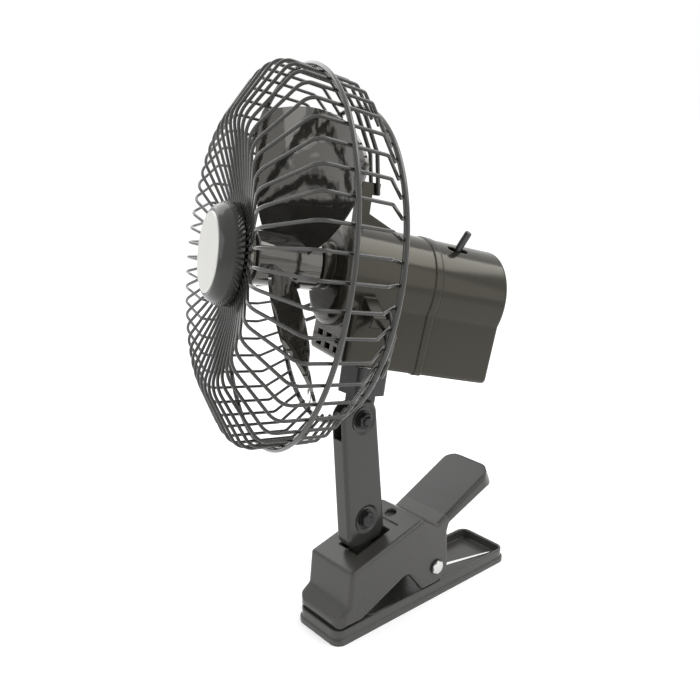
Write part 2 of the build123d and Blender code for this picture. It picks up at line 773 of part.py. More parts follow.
# Front casing: shell with a round nose, snout, lugs for the struts and the swivel boss
with BuildPart(fan_plane) as front_casing:
    with BuildSketch(casing_plane.offset(casing_seam)) as section:
        casing_section(section, 0)
    extrude(amount=casing_front - casing_seam)
    fillet(front_casing.faces().sort_by(casing_axis)[-1].edges(), casing_edge)
    with BuildSketch(casing_plane.offset(casing_seam)) as bead:
        casing_section(bead, -seam_bead)
    extrude(amount=seam_bead_length)
    with BuildSketch(casing_plane.offset(casing_front - casing_edge)):
        with Locations((0, -dome_drop)):
            Circle(casing_radius)
    extrude(amount=nose_front - casing_front + casing_edge)
    fillet(front_casing.faces().sort_by(casing_axis)[-1].edges(), nose_edge)
    with PolarLocations(0, lug_count, start_angle=90):
        add(lug.part)
    with BuildSketch(casing_plane.offset(casing_seam)) as hollow:
        casing_section(hollow, casing_wall)
    extrude(amount=casing_front - casing_wall - casing_seam, mode=Mode.SUBTRACT)
    with BuildSketch(casing_plane.offset(casing_front - casing_wall - overrun)):
        with Locations((0, -dome_drop)):
            Circle(casing_radius - nose_edge)
        Circle(snout_radius, mode=Mode.SUBTRACT)
    extrude(amount=nose_front - casing_front + overrun, mode=Mode.SUBTRACT)
    with BuildSketch(casing_plane.offset(casing_front - casing_wall - overrun)):
        with Locations((0, -vent_drop)):
            with GridLocations(vent_pitch, vent_rise, vent_columns, vent_rows):
                Rectangle(vent_width, vent_height)
    extrude(amount=casing_wall + 2 * overrun, mode=Mode.SUBTRACT)
    with BuildSketch(fan_plane.offset(casing_front - casing_wall)):
        Circle(snout_radius)
    extrude(amount=snout_front - casing_front + casing_wall)
    fillet(front_casing.faces().sort_by(fan_axis)[-1].edges(), snout_edge)
    with BuildSketch(casing_plane.offset(casing_seam)):
        with screw_places():
            Circle(screw_boss_radius)
        screw_webs()
    extrude(amount=screw_boss_length)
    with BuildSketch(head_plane.offset(-swivel_drop)):
        Circle(swivel_bush_radius + bush_wall)
    extrude(amount=swivel_height - body_gap)
    with BuildSketch(head_plane.offset(-swivel_drop - overrun)):
        Circle(swivel_bush_radius + running_gap)
    extrude(amount=swivel_height + 2 * overrun, mode=Mode.SUBTRACT)
    with BuildSketch(casing_plane.offset(casing_seam)):
        with screw_places():
            Circle(screw_radius + running_gap)
    extrude(amount=screw_grip, mode=Mode.SUBTRACT)
    with BuildSketch(fan_plane.offset(casing_front - casing_wall - overrun)):
        Circle(bush_radius + running_gap)
    extrude(amount=snout_front - casing_front + casing_wall + 2 * overrun, mode=Mode.SUBTRACT)
write(front_casing, "front_casing")

# Rear casing: shell with a lever slot in its dome and two screw wells
rear_depth = casing_seam - seat_gap - casing_rear
screw_seat = casing_rear + casing_wall + screw_head_height
flip = radians(lever_angle)
dome_at = casing_plane.from_local_coords(Vector(0, -dome_drop, lever_place))
lever_radial = casing_up * cos(flip) + sideways * sin(flip)
lever_across = sideways * cos(flip) + casing_up * -sin(flip)
lever_at = dome_at + lever_radial * lever_pivot_radius
lever_top = Plane(origin=lever_at, x_dir=lever_across, z_dir=lever_radial)
slot_centre = sin(radians(lever_lean)) * (casing_radius - lever_pivot_radius)
slot_width = 2 * (lever_radius + body_gap)
with BuildPart() as rear_casing:
    with BuildSketch(casing_plane.offset(casing_seam - seat_gap)) as section:
        casing_section(section, 0)
    extrude(amount=-rear_depth)
    fillet(rear_casing.faces().sort_by(casing_axis)[0].edges(), casing_tail_edge)
    with BuildSketch(casing_plane.offset(casing_seam - seat_gap)) as hollow:
        casing_section(hollow, casing_wall)
    extrude(amount=-(rear_depth - casing_wall), mode=Mode.SUBTRACT)
    with BuildSketch(casing_plane.offset(casing_seam - seat_gap)):
        with screw_places():
            Circle(screw_boss_radius)
    extrude(amount=-(rear_depth - casing_wall / 2))
    with BuildSketch(casing_plane.offset(casing_seam - seat_gap)):
        screw_webs()
    extrude(amount=-screw_boss_length)
    with BuildSketch(casing_plane.offset(casing_seam)):
        with screw_places():
            Circle(screw_radius + running_gap)
    extrude(amount=-rear_depth - overrun, mode=Mode.SUBTRACT)
    with BuildSketch(casing_plane.offset(screw_seat)):
        with screw_places():
            Circle(screw_head_radius + seat_gap)
    extrude(amount=casing_rear - screw_seat - overrun, mode=Mode.SUBTRACT)
    with BuildSketch(lever_top):
        with Locations((0, slot_centre)):
            SlotOverall(lever_slot_length, slot_width, rotation=90)
    extrude(amount=casing_radius, mode=Mode.SUBTRACT)
write(rear_casing, "rear_casing")

# Casing screws: through the rear wells into the front bosses
with BuildPart() as casing_screws:
    with BuildSketch(casing_plane.offset(screw_seat)):
        with screw_places():
            Circle(screw_head_radius)
    extrude(amount=-screw_head_height)
    with BuildSketch(casing_plane.offset(screw_seat)):
        with screw_places():
            Circle(screw_radius)
    extrude(amount=casing_seam + screw_grip - overrun - screw_seat)
write(casing_screws, "casing_screws")

# Motor can with open bearing holes at both ends
with BuildPart() as motor_can:
    with BuildSketch(fan_plane.offset(can_rear)):
        Circle(can_radius)
    extrude(amount=can_front - can_rear)
    with BuildSketch(fan_plane.offset(can_rear + can_wall)):
        Circle(can_radius - can_wall)
    extrude(amount=can_front - can_rear - 2 * can_wall, mode=Mode.SUBTRACT)
    with BuildSketch(fan_plane.offset(can_rear - overrun)):
        Circle(bush_radius + running_gap)
    extrude(amount=can_front - can_rear + 2 * overrun, mode=Mode.SUBTRACT)
write(motor_can, "motor_can")

# Magnets: two arcs on the wall of the can
can_mid = (can_front + can_rear) / 2
magnet_outer = can_radius - can_wall - running_gap
with BuildPart() as motor_magnets:
    with BuildSketch(fan_plane.offset(can_mid - magnet_length / 2)):
        Circle(magnet_outer)
        Circle(magnet_outer - magnet_thickness, mode=Mode.SUBTRACT)
        Rectangle(magnet_split, 2 * can_radius, mode=Mode.SUBTRACT)
    extrude(amount=magnet_length)
write(motor_magnets, "motor_magnets")

# Armature on the shaft
with BuildPart() as armature:
    with BuildSketch(fan_plane.offset(can_mid - armature_length / 2)):
        Circle(armature_radius)
        Circle(shaft_radius + running_gap, mode=Mode.SUBTRACT)
    extrude(amount=armature_length)
write(armature, "armature")

# Bushes: one in the snout, one in the rear of the can
with BuildPart() as motor_bushes:
    for place in (snout_front - bush_length, can_rear - bush_length / 2):
        with BuildSketch(fan_plane.offset(place)):
            Circle(bush_radius)
            Circle(shaft_radius + running_gap, mode=Mode.SUBTRACT)
        extrude(amount=bush_length)
write(motor_bushes, "motor_bushes")

# Shaft
with BuildPart() as shaft:
    with BuildSketch(fan_plane.offset(shaft_rear)):
        Circle(shaft_radius)
    extrude(amount=shaft_front - shaft_rear)
write(shaft, "shaft")

# One blade, pitched and cambered, along X with the air thrown towards +Z
with BuildPart() as blade:
    for radius_share, chord_share, pitch in zip(blade_radius_shares, blade_chord_shares, blade_pitches):
        half_chord = chord_share * blade_tip / 2
        camber = 2 * half_chord * blade_camber_share
        turn = radians(pitch)
        station = Plane(
            origin=(radius_share * blade_tip, 0, blade_place),
            x_dir=(0, cos(turn), sin(turn)),
            z_dir=(1, 0, 0),
        )
        with BuildSketch(station):
            with BuildLine():
                ThreePointArc((-half_chord, 0), (0, -camber), (half_chord, 0))
                Line((half_chord, 0), (half_chord, blade_thickness))
                ThreePointArc(
                    (half_chord, blade_thickness),
                    (0, blade_thickness - camber),
                    (-half_chord, blade_thickness),
                )
                Line((-half_chord, blade_thickness), (-half_chord, 0))
            make_face()
    loft()
    with BuildSketch(Plane.XY):
        with Locations((blade_tip - blade_round, 0)):
            Circle(blade_round)
        with Locations(((blade_tip - blade_round) / 2, 0)):
            Rectangle(blade_tip - blade_round, 2 * blade_root_half)
    extrude(amount=2 * blade_place, mode=Mode.INTERSECT)

# Fan: hub and blades in one moulding
with BuildPart(fan_plane) as fan:
    with BuildSketch(fan_plane.offset(hub_rear)):
        Circle(hub_radius)
    extrude(amount=hub_front - hub_rear)
    fillet(fan.faces().sort_by(fan_axis)[-1].edges(), hub_edge)
    with PolarLocations(0, blade_count, start_angle=blade_start):
        add(blade.part)
    with BuildSketch(fan_plane.offset(hub_rear - overrun)):
        Circle(shaft_radius + running_gap)
    extrude(amount=hub_front - hub_rear, mode=Mode.SUBTRACT)
write(fan, "fan")

# Hub cap on the hub's front face
with BuildPart() as hub_cap:
    with BuildSketch(fan_plane.offset(hub_front)):
        Circle(hub_cap_radius)
    extrude(amount=hub_cap_thickness)
    fillet(hub_cap.faces().sort_by(fan_axis)[-1].edges(), hub_cap_thickness / 2)
write(hub_cap, "hub_cap")

# One guard wire, from behind the centre cap over the crest to the inside of the rear ring
crest_radius = crest_share * hoop_radius
slant = radians(wire_slant)
weld_reach = ring_wire + wire_radius + weld_gap
weld_radius = ring_radius - weld_reach * cos(slant)
weld_place = ring_place + weld_reach * sin(slant)
heel_radius = ring_radius + heel_reach
heel_place = weld_place + (heel_radius - weld_radius) / tan(slant)
hoop_inside = hoop_radius - hoop_wire - wire_radius - weld_gap
flank_slope = (hoop_inside - heel_radius) / (hoop_place - heel_place)
shoulder_radius = hoop_inside + (shoulder_place - hoop_place) * flank_slope
with BuildPart() as guard_wire:
    with BuildLine():
        FilletPolyline(
            (wire_inner, 0, wire_centre),
            (wire_knee, 0, wire_centre),
            (crest_radius, 0, crest_place),
            (shoulder_radius, 0, shoulder_place),
            (heel_radius, 0, heel_place),
            (weld_radius - wire_tail * sin(slant), 0, weld_place - wire_tail * cos(slant)),
            radius=(knee_bend, crest_bend, shoulder_bend, heel_bend),
        )
    with BuildSketch(Plane(origin=(wire_inner, 0, wire_centre), z_dir=(1, 0, 0))):
        Circle(wire_radius)
    sweep()
with BuildPart(fan_plane) as guard_wires:
    with PolarLocations(0, wire_count):
        add(guard_wire.part)
write(guard_wires, "guard_wires")

# Front hoop and rear ring
for name, place, radius, wire in (
    ("front_hoop", hoop_place, hoop_radius, hoop_wire),
    ("rear_ring", ring_place, ring_radius, ring_wire),
):
    with BuildPart() as ring:
        with BuildSketch(head_side):
            with Locations((place, radius)):
                Circle(wire)
        revolve(axis=fan_axis)
    write(ring, name)

# Hairpin struts from the rear ring down the sides of the lugs
strut_side = lug_half_width + strut_wire + seat_gap
strut_back = ring_place - ring_wire - strut_wire - weld_gap
strut_foot = (-strut_side, strut_foot_radius, strut_foot_place)
strut_rise = (0, strut_elbow_radius - strut_foot_radius, strut_elbow_place - strut_foot_place)
with BuildPart() as strut:
    with BuildLine():
        FilletPolyline(
            strut_foot,
            (-strut_side, strut_elbow_radius, strut_elbow_place),
            (-strut_side, ring_radius, strut_back),
            (strut_side, ring_radius, strut_back),
            (strut_side, strut_elbow_radius, strut_elbow_place),
            (strut_side, strut_foot_radius, strut_foot_place),
            radius=strut_bend,
        )
    with BuildSketch(Plane(origin=strut_foot, z_dir=strut_rise)):
        Circle(strut_wire)
    sweep()
with BuildPart(fan_plane) as struts:
    with PolarLocations(0, lug_count):
        add(strut.part)
write(struts, "struts")

# Centre plate behind the wires
plate_front = wire_centre - wire_radius - weld_gap
with BuildPart() as centre_plate:
    with BuildSketch(fan_plane.offset(plate_front)):
        Circle(plate_radius)
        Circle(cap_screw_radius + running_gap, mode=Mode.SUBTRACT)
    extrude(amount=-plate_thickness)
write(centre_plate, "centre_plate")

# Centre cap: a cup with a post to the plate and a recess for the badge
cap_back = wire_centre + wire_radius + seat_gap
badge_seat = cap_front - badge_thickness
cap_inside = badge_seat - cap_wall
cap_bulge = (
    cap_back + cap_bulge_shares[0] * (cap_front - cap_back),
    cap_front_radius + cap_bulge_shares[1] * (cap_radius - cap_front_radius),
)
with BuildPart() as cap:
    with BuildSketch(head_side):
        with BuildLine():
            ThreePointArc((cap_front, cap_front_radius), cap_bulge, (cap_back, cap_radius))
            Polyline(
                (cap_back, cap_radius),
                (cap_back, cap_radius - cap_wall),
                (cap_inside, cap_front_radius - cap_wall),
                (cap_inside, cap_post_radius),
                (plate_front, cap_post_radius),
                (plate_front, cap_screw_radius + running_gap),
                (cap_inside, cap_screw_radius + running_gap),
                (cap_inside, 0),
                (badge_seat, 0),
                (badge_seat, badge_radius + seat_gap),
                (cap_front, badge_radius + seat_gap),
                (cap_front, cap_front_radius),
            )
        make_face()
    revolve(axis=fan_axis)
    fillet(cap.faces().sort_by(fan_axis)[-1].edges().sort_by(SortBy.LENGTH)[-1], cap_edge / 2)
write(cap, "cap")

# Badge: a bare disc with a soft edge
with BuildPart() as badge:
    with BuildSketch(fan_plane.offset(badge_seat)):
        Circle(badge_radius)
    extrude(amount=badge_thickness + badge_crown)
    fillet(badge.faces().sort_by(fan_axis)[-1].edges(), badge_crown)
write(badge, "badge")

# Cap screw from behind the plate
plate_rear = plate_front - plate_thickness
with BuildPart() as cap_screw:
    with BuildSketch(fan_plane.offset(plate_rear)):
        Circle(cap_screw_head)
    extrude(amount=-cap_screw_head_height)
    with BuildSketch(fan_plane.offset(plate_rear)):
        Circle(cap_screw_radius)
    extrude(amount=cap_inside - overrun - plate_rear)
write(cap_screw, "cap_screw")

# Switch lever, its pin and the switch body under the dome
lever_side = Plane(origin=lever_at, x_dir=casing_forward, z_dir=lever_across * -1)
lever_heading = lever_radial * cos(radians(lever_lean)) + casing_forward * -sin(radians(lever_lean))
with BuildPart() as lever:
    with BuildSketch(Plane(origin=lever_at, x_dir=lever_across, z_dir=lever_heading)):
        Circle(lever_radius)
    extrude(amount=lever_length)
    fillet(lever.faces().sort_by(Axis(lever_at, lever_heading))[-1].edges(), lever_radius / 2)
    with BuildSketch(lever_side):
        Circle(lever_hub_radius)
    extrude(amount=lever_hub_width / 2, both=True)
    with BuildSketch(lever_side):
        Circle(lever_pin_radius + running_gap)
    extrude(amount=lever_hub_width, both=True, mode=Mode.SUBTRACT)
write(lever, "lever")
with BuildPart() as lever_pin:
    with BuildSketch(lever_side):
        Circle(lever_pin_radius)
    extrude(amount=switch_width / 2, both=True)
write(lever_pin, "lever_pin")
dome_inside = casing_radius - casing_wall - seat_gap
switch_half = switch_width / 2
switch_top = sqrt(dome_inside * dome_inside - switch_half * switch_half)
with BuildPart() as switch_body:
    with BuildSketch(lever_top.offset(switch_bottom - lever_pivot_radius)):
        Rectangle(switch_width, switch_length)
    extrude(amount=switch_top - switch_bottom)
    with BuildSketch(lever_top.offset(-lever_hub_radius - body_gap)):
        Rectangle(lever_hub_width + 2 * body_gap, switch_length + overrun)
    extrude(amount=switch_top, mode=Mode.SUBTRACT)
    with BuildSketch(lever_side):
        Circle(lever_pin_radius + running_gap)
    extrude(amount=switch_width, both=True, mode=Mode.SUBTRACT)
write(switch_body, "switch_body")
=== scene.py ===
import bmesh
import bpy
import json
import numpy as np
from mathutils import Matrix, Vector


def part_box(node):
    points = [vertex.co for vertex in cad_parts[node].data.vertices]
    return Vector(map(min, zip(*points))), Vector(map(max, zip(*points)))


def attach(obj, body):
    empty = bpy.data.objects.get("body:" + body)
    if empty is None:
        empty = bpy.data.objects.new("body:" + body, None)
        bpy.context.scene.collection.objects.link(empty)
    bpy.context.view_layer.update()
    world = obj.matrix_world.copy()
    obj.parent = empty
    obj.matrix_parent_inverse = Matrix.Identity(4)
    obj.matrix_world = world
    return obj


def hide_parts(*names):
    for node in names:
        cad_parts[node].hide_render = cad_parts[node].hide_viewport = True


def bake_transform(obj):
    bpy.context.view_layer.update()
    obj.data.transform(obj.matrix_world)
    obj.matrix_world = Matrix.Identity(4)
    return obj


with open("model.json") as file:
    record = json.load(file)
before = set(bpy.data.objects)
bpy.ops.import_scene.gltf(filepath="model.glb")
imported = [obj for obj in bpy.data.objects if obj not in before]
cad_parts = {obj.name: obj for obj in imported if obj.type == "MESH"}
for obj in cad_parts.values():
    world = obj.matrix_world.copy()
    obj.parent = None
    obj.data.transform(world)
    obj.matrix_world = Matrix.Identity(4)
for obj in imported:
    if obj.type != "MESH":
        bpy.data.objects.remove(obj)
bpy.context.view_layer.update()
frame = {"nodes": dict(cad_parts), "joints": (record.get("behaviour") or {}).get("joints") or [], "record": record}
nodes = frame["nodes"]
print("frame loaded:", len(nodes), "nodes")

# where the head sits, read from its joints
joints = {joint["name"]: joint for joint in frame["joints"]}
headAt = np.array(joints["fan_spin"]["pos_m"])
forward = np.array(joints["fan_spin"]["axis"])


# shared shader groups

def newGroup(name, inputs, outputs):
    group = bpy.data.node_groups.new(name, "ShaderNodeTree")
    for label, value in inputs.items():
        socket = group.interface.new_socket(label, in_out="INPUT", socket_type="NodeSocketFloat")
        socket.default_value = value
    for label in outputs:
        group.interface.new_socket(label, in_out="OUTPUT", socket_type="NodeSocketFloat")
    source = group.nodes.new("NodeGroupInput")
    sink = group.nodes.new("NodeGroupOutput")
    return group, source, sink


def mathNode(group, operation, first, second):
    node = group.nodes.new("ShaderNodeMath")
    node.operation = operation
    for socket, value in zip(node.inputs, (first, second)):
        if isinstance(value, (int, float)):
            socket.default_value = value
        else:
            group.links.new(value, socket)
    return node.outputs[0]


def noiseNode(group, vector, scale, detail, roughness=0.55):
    node = group.nodes.new("ShaderNodeTexNoise")
    node.inputs["Detail"].default_value = detail
    node.inputs["Roughness"].default_value = roughness
    if isinstance(scale, (int, float)):
        node.inputs["Scale"].default_value = scale
    else:
        group.links.new(scale, node.inputs["Scale"])
    group.links.new(vector, node.inputs["Vector"])
    return node.outputs["Fac"]


def makeMouldGroup():
    # fine grain plus slow waves: what a moulded or painted skin shows in its reflections
    group, source, sink = newGroup(
        "mouldSkin",
        {"Grain": 900.0, "Wave": 45.0, "Low": 0.15, "High": 0.3, "Grain Height": 0.2, "Wave Height": 0.6},
        ("Rough", "Height", "Cloud"),
    )
    coord = group.nodes.new("ShaderNodeTexCoord").outputs["Object"]
    grain = noiseNode(group, coord, source.outputs["Grain"], 3.0)
    wave = noiseNode(group, coord, source.outputs["Wave"], 2.0)
    span = mathNode(group, "SUBTRACT", source.outputs["High"], source.outputs["Low"])
    rough = mathNode(group, "MULTIPLY", span, wave)
    rough = mathNode(group, "ADD", rough, source.outputs["Low"])
    fine = mathNode(group, "MULTIPLY", grain, source.outputs["Grain Height"])
    slow = mathNode(group, "MULTIPLY", wave, source.outputs["Wave Height"])
    group.links.new(rough, sink.inputs["Rough"])
    group.links.new(mathNode(group, "ADD", fine, slow), sink.inputs["Height"])
    group.links.new(wave, sink.inputs["Cloud"])
    return group


scuffCuts = {"streakFrom": 0.62, "streakGain": 9.0, "speckScale": 22.0, "speckFrom": 0.70, "speckGain": 14.0}


def makeScuffGroup():
    # long thin marks and specks, as a mask from 0 to 1
    group, source, sink = newGroup("scuffMask", {"Scale": 60.0, "Stretch": 9.0, "Amount": 0.3}, ("Mask", "Specks"))
    coord = group.nodes.new("ShaderNodeTexCoord").outputs["Object"]
    stretch = group.nodes.new("ShaderNodeCombineXYZ")
    stretch.inputs[0].default_value = 1.0
    stretch.inputs[2].default_value = 1.0
    group.links.new(source.outputs["Stretch"], stretch.inputs[1])
    scaled = group.nodes.new("ShaderNodeVectorMath")
    scaled.operation = "MULTIPLY"
    group.links.new(coord, scaled.inputs[0])
    group.links.new(stretch.outputs[0], scaled.inputs[1])
    streak = noiseNode(group, scaled.outputs[0], source.outputs["Scale"], 6.0, 0.7)
    cut = mathNode(group, "SUBTRACT", streak, scuffCuts["streakFrom"])
    cut = mathNode(group, "MULTIPLY", cut, scuffCuts["streakGain"])
    cut = mathNode(group, "MAXIMUM", mathNode(group, "MINIMUM", cut, 1.0), 0.0)
    group.links.new(mathNode(group, "MULTIPLY", cut, source.outputs["Amount"]), sink.inputs["Mask"])
    speckScale = mathNode(group, "MULTIPLY", source.outputs["Scale"], scuffCuts["speckScale"])
    specks = noiseNode(group, coord, speckScale, 2.0)
    dots = mathNode(group, "SUBTRACT", specks, scuffCuts["speckFrom"])
    dots = mathNode(group, "MULTIPLY", dots, scuffCuts["speckGain"])
    dots = mathNode(group, "MAXIMUM", mathNode(group, "MINIMUM", dots, 1.0), 0.0)
    group.links.new(mathNode(group, "MULTIPLY", dots, source.outputs["Amount"]), sink.inputs["Specks"])
    return group


def makeGripGroup():
    # how far a point lies past a line across the handle, as a panel mask and a thin line at its edge
    group, source, sink = newGroup(
        "gripPanel", {"Forward": 0.9043, "Upward": 0.4269, "Start": 0.0668, "Line": 0.0004}, ("Panel", "Edge"))
    place = group.nodes.new("ShaderNodeSeparateXYZ")
    group.links.new(group.nodes.new("ShaderNodeTexCoord").outputs["Object"], place.inputs[0])
    along = mathNode(group, "MULTIPLY", place.outputs["Y"], source.outputs["Forward"])
    rise = mathNode(group, "MULTIPLY", place.outputs["Z"], source.outputs["Upward"])
    past = mathNode(group, "SUBTRACT", mathNode(group, "ADD", along, rise), source.outputs["Start"])
    share = mathNode(group, "DIVIDE", past, source.outputs["Line"])
    near = mathNode(group, "SUBTRACT", 1.0, mathNode(group, "ABSOLUTE", share, 0.0))
    group.links.new(mathNode(group, "MINIMUM", mathNode(group, "MAXIMUM", share, 0.0), 1.0), sink.inputs["Panel"])
    group.links.new(mathNode(group, "MAXIMUM", near, 0.0), sink.inputs["Edge"])
    return group


def makeCrossGroup():
    # a screw's cross recess seen along Z: two bars about a centre, a mask used to paint shade into the recess
    group, source, sink = newGroup(
        "crossRecess", {"Centre X": 0.0, "Centre Y": 0.0, "Half Width": 0.0004, "Half Length": 0.0019}, ("Mask",))
    place = group.nodes.new("ShaderNodeSeparateXYZ")
    group.links.new(group.nodes.new("ShaderNodeTexCoord").outputs["Object"], place.inputs[0])
    offsets = []
    for axis in ("X", "Y"):
        offset = mathNode(group, "SUBTRACT", place.outputs[axis], source.outputs["Centre " + axis])
        offsets.append(mathNode(group, "ABSOLUTE", offset, 0.0))
    bars = []
    for thin, long in (offsets, offsets[::-1]):
        narrow = mathNode(group, "LESS_THAN", thin, source.outputs["Half Width"])
        short = mathNode(group, "LESS_THAN", long, source.outputs["Half Length"])
        bars.append(mathNode(group, "MULTIPLY", narrow, short))
    group.links.new(mathNode(group, "MAXIMUM", *bars), sink.inputs["Mask"])
    return group


mouldSkin = makeMouldGroup()
scuffMask = makeScuffGroup()
gripPanel = makeGripGroup()
crossRecess = makeCrossGroup()
print("shader groups built")


# finishes

def newMaterial(name):
    material = bpy.data.materials.new(name)
    material.use_nodes = True
    tree = material.node_tree
    tree.nodes.clear()
    output = tree.nodes.new("ShaderNodeOutputMaterial")
    shader = tree.nodes.new("ShaderNodeBsdfPrincipled")
    tree.links.new(shader.outputs[0], output.inputs["Surface"])
    return material, tree, shader


def placeGroup(tree, group, values):
    node = tree.nodes.new("ShaderNodeGroup")
    node.node_tree = group
    for label, value in values.items():
        node.inputs[label].default_value = value
    return node


def tintMix(tree, mask, plain, marked):
    mix = tree.nodes.new("ShaderNodeMix")
    mix.data_type = "RGBA"
    mix.inputs["A"].default_value = (*plain, 1)
    mix.inputs["B"].default_value = (*marked, 1)
    tree.links.new(mask, mix.inputs["Factor"])
    return mix.outputs["Result"]


def markSkin(tree, marked, colour, height):
    # tints the skin where a group's mask says so, and sinks a second mask into it
    marks = placeGroup(tree, marked["group"], marked["values"])
    tinted = tree.nodes.new("ShaderNodeMix")
    tinted.data_type = "RGBA"
    tinted.blend_type = "MULTIPLY"
    tree.links.new(marks.outputs[marked["mask"]], tinted.inputs["Factor"])
    tree.links.new(colour, tinted.inputs["A"])
    tinted.inputs["B"].default_value = (*marked["tint"], 1)
    sunk = mathNode(tree, "MULTIPLY", marks.outputs[marked["sunk"]], marked["depth"])
    return tinted.outputs["Result"], mathNode(tree, "SUBTRACT", height, sunk)


def skinMaterial(name, look):
    # one painted or moulded skin: colour with scuffs, cloudy gloss, grain in the normal
    material, tree, shader = newMaterial(name)
    skin = placeGroup(tree, mouldSkin, look["skin"])
    scuff = placeGroup(tree, scuffMask, look["scuff"])
    colour = tintMix(tree, scuff.outputs["Mask"], look["colour"], look["worn"])
    speckled = tree.nodes.new("ShaderNodeMix")
    speckled.data_type = "RGBA"
    tree.links.new(colour, speckled.inputs["A"])
    speckled.inputs["B"].default_value = (*look["dust"], 1)
    tree.links.new(scuff.outputs["Specks"], speckled.inputs["Factor"])
    finalColour, height = speckled.outputs["Result"], skin.outputs["Height"]
    if "marked" in look:
        finalColour, height = markSkin(tree, look["marked"], finalColour, height)
    tree.links.new(finalColour, shader.inputs["Base Color"])
    tree.links.new(skin.outputs["Rough"], shader.inputs["Roughness"])
    bump = tree.nodes.new("ShaderNodeBump")
    bump.inputs["Strength"].default_value = look.get("bump", 0.2)
    bump.inputs["Distance"].default_value = look.get("depth", 0.0004)
    tree.links.new(height, bump.inputs["Height"])
    if "soft" in look:
        softEdge = tree.nodes.new("ShaderNodeBevel")  # moulded corners catch a soft line of light
        softEdge.samples = 6
        softEdge.inputs["Radius"].default_value = look["soft"]
        tree.links.new(softEdge.outputs[0], bump.inputs["Normal"])
    tree.links.new(bump.outputs[0], shader.inputs["Normal"])
    shader.inputs["Metallic"].default_value = look.get("metallic", 0.0)
    shader.inputs["Specular Tint"].default_value = (*look.get("glossTint", (1, 1, 1)), 1)
    shader.inputs["IOR"].default_value = look.get("ior", 1.5)
    shader.inputs["Coat Weight"].default_value = look.get("coat", 0.0)
    shader.inputs["Coat Roughness"].default_value = look.get("coatRough", 0.05)
    return material


def skinOf(grain, wave, low, high, fine, slow):
    return {"Grain": grain, "Wave": wave, "Low": low, "High": high, "Grain Height": fine, "Wave Height": slow}


def scuffOf(scale, stretch, amount):
    return {"Scale": scale, "Stretch": stretch, "Amount": amount}


